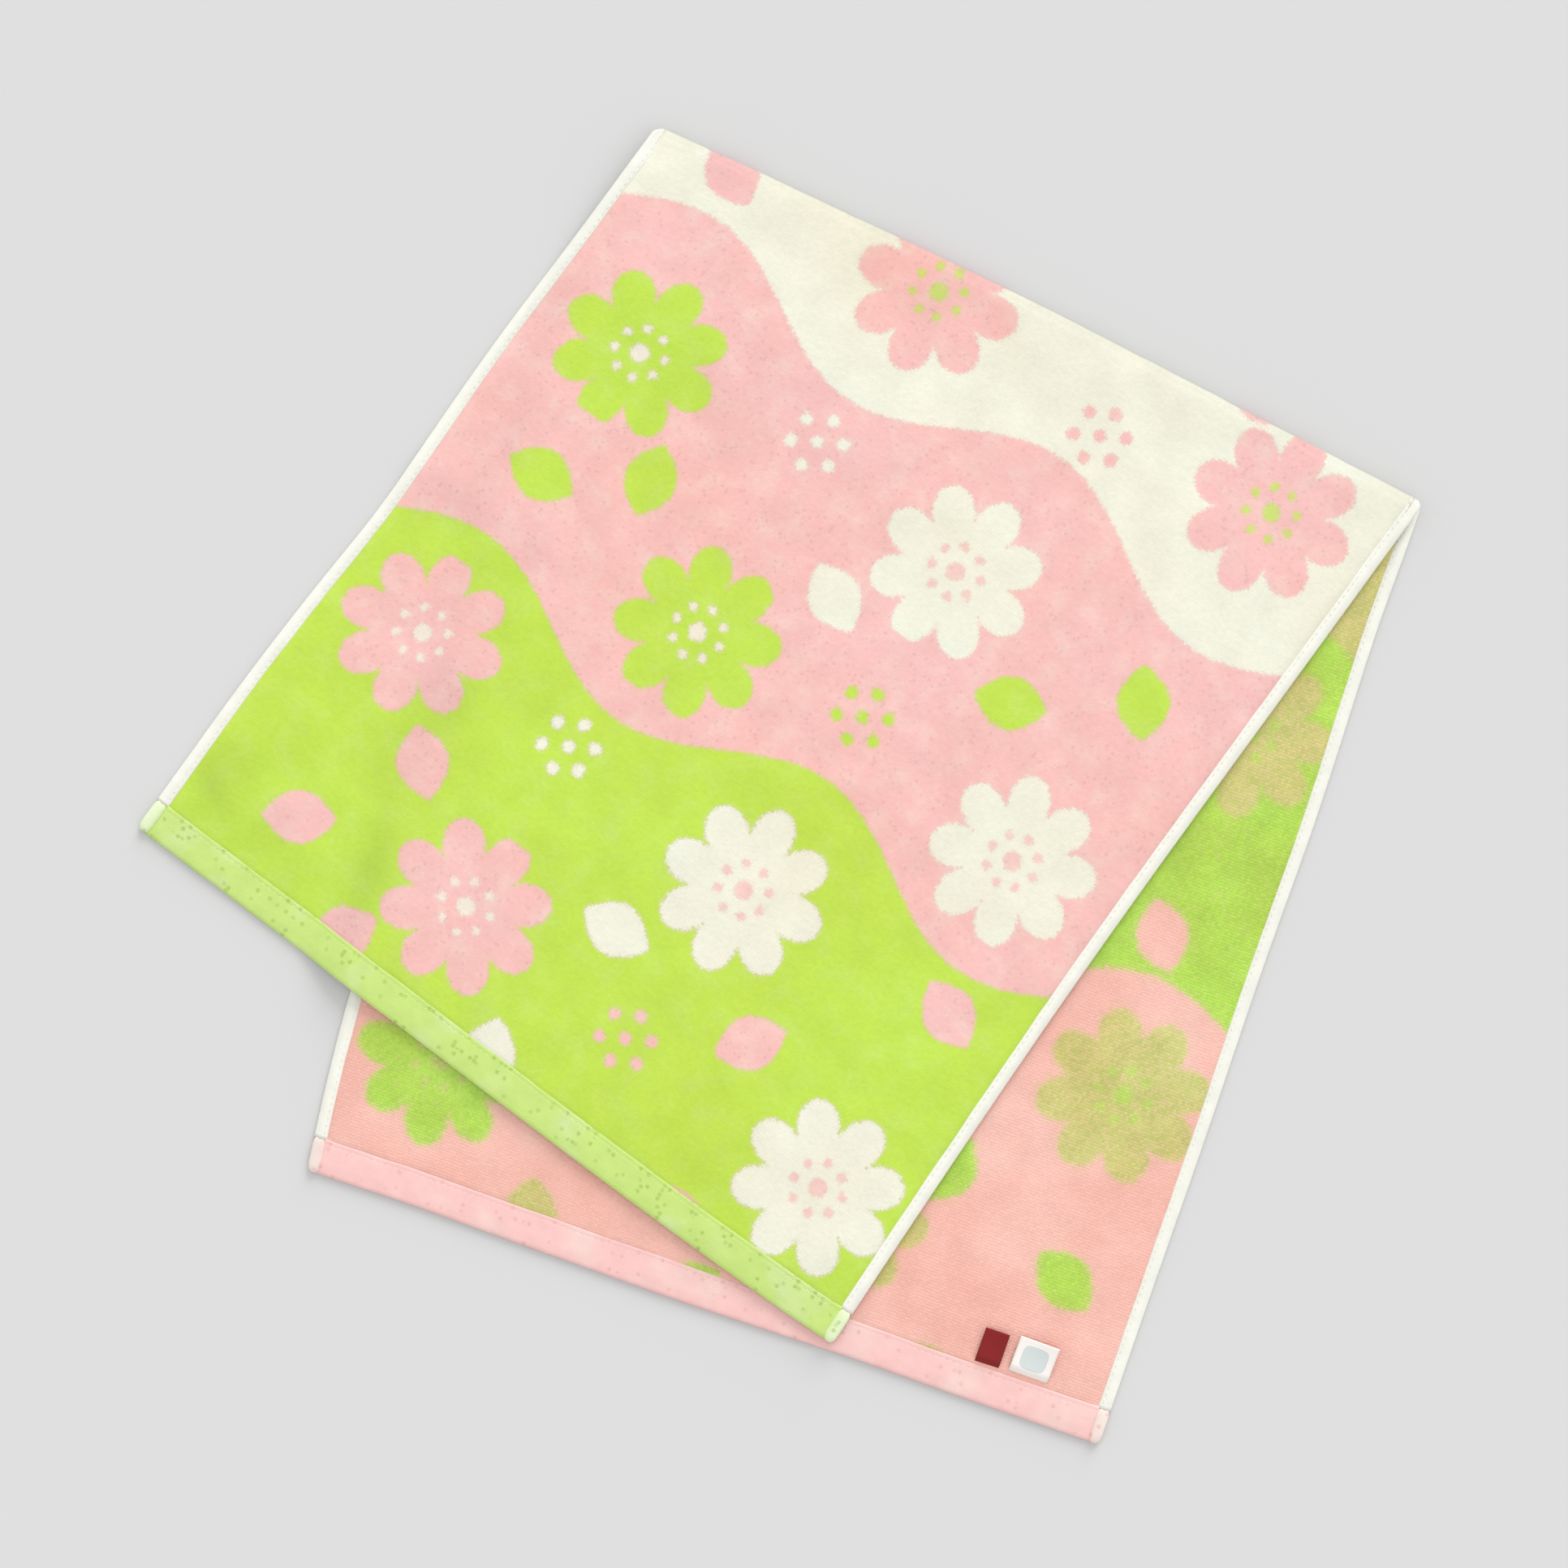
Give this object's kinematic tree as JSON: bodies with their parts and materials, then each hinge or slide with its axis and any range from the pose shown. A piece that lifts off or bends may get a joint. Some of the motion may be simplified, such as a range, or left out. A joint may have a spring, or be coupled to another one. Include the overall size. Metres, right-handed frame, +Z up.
{
  "type": "folded towel",
  "caption": "Terry face towel folded over at a slant, its upper layer fanned out past one side of the lower layer, with rolled side hems, flat end hems and small plain labels.",
  "frame": {"origin": "middle of the towel's outline, on the surface it lies on", "axes": "+X runs along the lower layer's end hem, +Y runs from that hem towards the fold, +Z up out of the surface"},
  "size_m": [0.44, 0.4368, 0.0081],
  "materials": {
    "terry_cotton": "dyed cotton terry, sheared soft on the front and looped on the back, matt",
    "hem_cotton": "flat woven cotton selvedge, rolled and stitched, matt",
    "sewing_thread": "twisted cotton thread, slight sheen",
    "label_tape": "fine woven tape, slight sheen"
  },
  "bodies": {
    "root": {"towel_cloth": "terry_cotton", "label_narrow": "label_tape", "label_square": "label_tape"}
  },
  "joints": []
}
